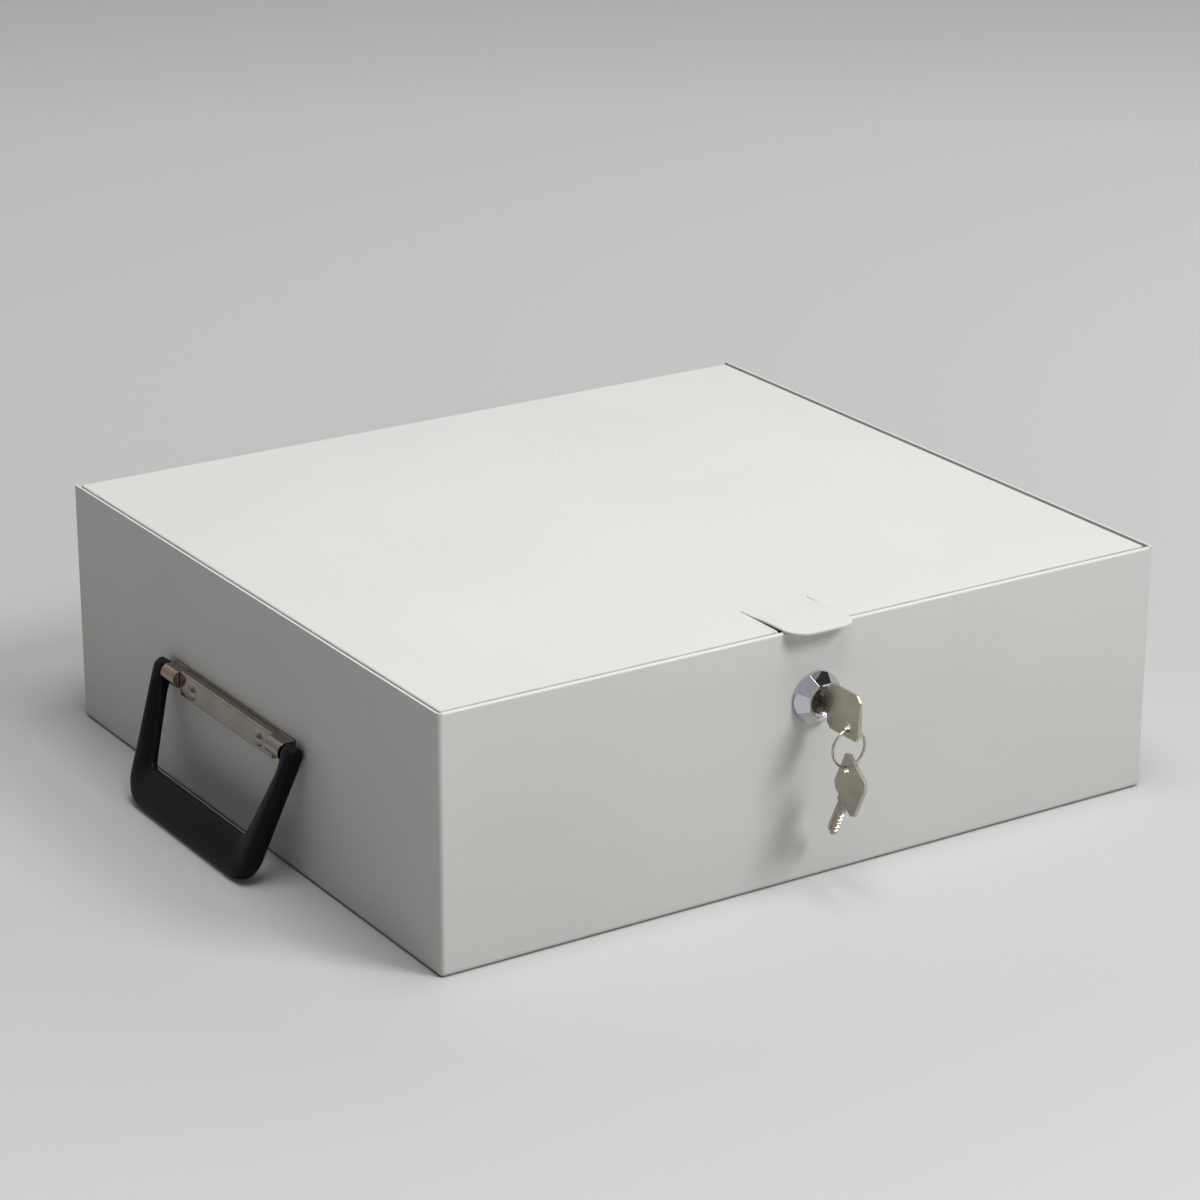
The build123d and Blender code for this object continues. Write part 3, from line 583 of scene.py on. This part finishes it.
def bracketRoll(axis):
    # outline of a rolled end: out over the pin, round it to the cut edge, and back inside the sheet
    sheet, top, low = bracket["wallSheet"], bracket["top"], -bracket["drop"]
    angle = np.radians(np.linspace(bracket["rollFrom"], bracket["rollTo"], bracket["rollSteps"]))
    flange = [(0, low), (0, bracket["flangeTop"]), (sheet, bracket["flangeTop"]), (sheet, top)]
    outside = circleArc(bracket["rollRadius"], angle, axis)
    inside = circleArc(bracket["rollRadius"] - bracket["rollWall"], angle[::-1], axis)
    return np.concatenate([flange, outside, inside, [(sheet, top - bracket["rollWall"]), (sheet, low)]])


def makeBracketShell():
    # outlines carried along the wall, each closed at both ends: middle, two rolls and the two pin heads
    pivot = np.array(pivotOf["handle_swing"]) / mm
    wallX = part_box("case_body")[0][0] / mm
    axis = wallX - pivot[0]
    around = np.linspace(0, 2 * pi, 2 * bracket["rollSteps"], endpoint=False)
    head = circleArc(bracket["rollRadius"] - bracket["rollWall"] - bracket["pinHeadGap"], around, axis)
    roll = bracketRoll(axis)
    end = bracket["length"] / 2
    rollStart = end - bracket["knuckle"]
    headStart = rollStart + bracket["pinHeadInset"]
    headEnd = rollStart + bracket["pinHeadEnd"]
    spans = ((bracketMiddle(), -rollStart, rollStart), (roll, -end, -rollStart), (roll, rollStart, end),
             (head, -headEnd, -headStart), (head, headStart, headEnd))
    points, faces, made = [], [], 0
    for outline, start, stop in spans:
        count = len(outline)
        for y in (pivot[1] + start, pivot[1] + stop):
            points.append(np.stack([wallX - outline[:, 0], np.full(count, y), pivot[2] + outline[:, 1]], 1))
        caps = [list(range(count)), list(range(count, 2 * count))]
        faces += [[index + made for index in face] for face in gridFaces(2, count) + caps]
        made += 2 * count
    mesh = meshFrom("bracketShell", np.concatenate(points), faces, weld=False)
    print("bracket shell:", len(mesh.polygons), "faces")
    finishPiece(mesh, "handle_bracket", bracket["edge"])


# Key ring

# crossing and endGap are angles along the wire, and splitAt is where its ends lie, all in radians
splitRing = {"meanRadius": 7.9, "wireAcross": 0.5, "wireAlong": 0.26, "offset": 0.27, "crossing": 0.5,
             "endGap": 0.06, "splitAt": radians(200), "turnSteps": 240, "wireSteps": 14}


def makeSplitRing():
    # two turns of flattened wire: its middle is (R cos a, offset * tanh(a / crossing), R sin a), so the
    # turns lie side by side and cross over once
    low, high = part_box("key_ring")
    centre = (np.array(low) + np.array(high)) / 2 / mm
    reach = 2 * pi - splitRing["endGap"]
    angle = np.linspace(-reach, reach, splitRing["turnSteps"])
    shift = splitRing["offset"] * np.tanh(angle / splitRing["crossing"])
    theta = np.linspace(0, 2 * pi, splitRing["wireSteps"], endpoint=False)
    radial = splitRing["meanRadius"] + splitRing["wireAcross"] * np.cos(theta)
    along = shift[:, None] + splitRing["wireAlong"] * np.sin(theta)
    turned = angle[:, None] + splitRing["splitAt"]
    ring = np.stack([radial * np.cos(turned), along, radial * np.sin(turned)], 2)
    points = ring.reshape(-1, 3) + centre
    count = splitRing["wireSteps"]
    caps = [list(range(count)), list(range(len(points) - count, len(points)))]
    mesh = meshFrom("splitRing", points, gridFaces(splitRing["turnSteps"], count) + caps)
    print("split ring:", len(mesh.polygons), "faces")
    finishPiece(mesh, "key_ring")


makeBail()
makeBracketShell()
makeSplitRing()


# Stage, light and camera

# the floor's colours near the box and far off, darker near the box as a painted soft shadow: as light bounces from
# it, and as it is seen and mirrored
stage = {"half": 4.0, "near": rgb(0.36, 0.36, 0.36), "far": rgb(0.80, 0.80, 0.79),
         "nearSeen": rgb(0.53, 0.53, 0.53), "farSeen": rgb(0.84, 0.84, 0.83),
         "shadowFullTo": 0.30, "shadowEndsAt": 1.25, "roughness": 0.7}


def makeFloor():
    # one square, whose colour pales with the distance from the box, so that a painted soft shadow lies round the
    # box
    half = stage["half"]
    mesh = bpy.data.meshes.new("floor")
    corners = [(-half, -half, 0), (half, -half, 0), (half, half, 0), (-half, half, 0)]
    mesh.from_pydata(corners, [], [(0, 1, 2, 3)])
    material, tree, shader, place = startMaterial("floorPaintedShadow")
    away = vectorNode(tree, "LENGTH", place)["Value"]
    pale = remap(tree, away, stage["shadowFullTo"], stage["shadowEndsAt"], 0.0, 1.0)
    bounced = mixColour(tree, pale, stage["near"], stage["far"])
    seen = mixColour(tree, pale, stage["nearSeen"], stage["farSeen"])
    paths = tree.nodes.new("ShaderNodeLightPath").outputs
    straight = mathNode(tree, "MAXIMUM", paths["Is Camera Ray"], paths["Is Glossy Ray"])
    straight = mathNode(tree, "MAXIMUM", straight, paths["Is Transmission Ray"])
    tree.links.new(mixColour(tree, straight, bounced, seen), shader["Base Color"])
    shader["Roughness"].default_value = stage["roughness"]
    mesh.materials.append(material)
    floor = putInScene("floor", mesh)


lamps = {"windowLight": {"place": (1.0, -1.8, 1.9), "size": 0.8, "power": 38.0},
         "ceilingLight": {"place": (-0.05, -0.36, 1.8), "size": 0.9, "power": 21.0}}
lampTarget = (0.0, 0.0, 0.05)


def aimAt(place, target):
    # turn that makes local -Z look from place to target, with X level
    back = np.array(place) - np.array(target)
    back /= np.linalg.norm(back)
    right = np.cross((0.0, 0.0, 1.0), back)
    right /= np.linalg.norm(right)
    return Matrix((right, np.cross(back, right), back)).transposed().to_euler()


def makeLamps():
    for name, lamp in lamps.items():
        light = bpy.data.lights.new(name, "AREA")
        light.size = lamp["size"]
        light.energy = lamp["power"]
        holder = putInScene(name, light)
        holder.location = lamp["place"]
        holder.rotation_euler = aimAt(lamp["place"], lampTarget)


# strengths of the world: what lights the object, what the camera sees, and what shiny surfaces reflect,
# which is dim from dimSide (as the X of the direction) to bright from brightSide on, with one dark patch
room = {"light": 0.18, "seen": 0.88, "dim": 0.16, "bright": 0.85, "dimSide": -0.95, "brightSide": 0.15,
        "shade": 0.05, "shadeAim": (0.55, -0.11, 0.82), "shadeFrom": 0.86, "shadeTo": 0.95}


def makeRoom():
    # shiny surfaces see a room that is darker on the left and has its dark patch high on the right
    world = bpy.data.worlds.new("softRoom")
    bpy.context.scene.world = world
    world.use_nodes = True
    tree = world.node_tree
    background = tree.nodes["Background"].inputs
    background["Color"].default_value = rgb(1.0, 1.0, 1.0)
    direction = tree.nodes.new("ShaderNodeTexCoord").outputs["Generated"]
    across = splitAxes(tree, direction)["X"]
    level = remap(tree, across, room["dimSide"], room["brightSide"], room["dim"], room["bright"])
    toward = vectorNode(tree, "DOT_PRODUCT", direction, room["shadeAim"])["Value"]
    outside = remap(tree, toward, room["shadeFrom"], room["shadeTo"], 1.0, room["shade"])
    paths = tree.nodes.new("ShaderNodeLightPath").outputs
    lit = mixNumber(tree, paths["Is Glossy Ray"], room["light"], mathNode(tree, "MULTIPLY", level, outside))
    tree.links.new(mixNumber(tree, paths["Is Camera Ray"], lit, room["seen"]), background["Strength"])


# the view of the photograph: place in metres, turn about Z, tilt and roll in radians, focal length in pixels
photoView = {"place": (-0.8210, -1.2739, 0.6376), "turn": -0.572203, "tilt": 1.212766, "roll": 0.002975,
             "focal": 3713.39, "frameWidth": 1200.0, "sensor": 36.0, "nearest": 0.01}


def makeCamera():
    camera = bpy.data.cameras.new("photoView")
    camera.sensor_width = photoView["sensor"]
    camera.lens = photoView["focal"] / photoView["frameWidth"] * photoView["sensor"]
    camera.clip_start = photoView["nearest"]
    turn = (Matrix.Rotation(photoView["turn"], 4, "Z") @ Matrix.Rotation(photoView["tilt"], 4, "X")
            @ Matrix.Rotation(photoView["roll"], 4, "Z"))
    holder = putInScene("photoView", camera)
    holder.matrix_world = Matrix.Translation(photoView["place"]) @ turn
    bpy.context.scene.camera = holder
    bpy.context.scene.view_settings.view_transform = "Standard"


makeFloor()
makeLamps()
makeRoom()
makeCamera()
print("stage, lamps and camera set")
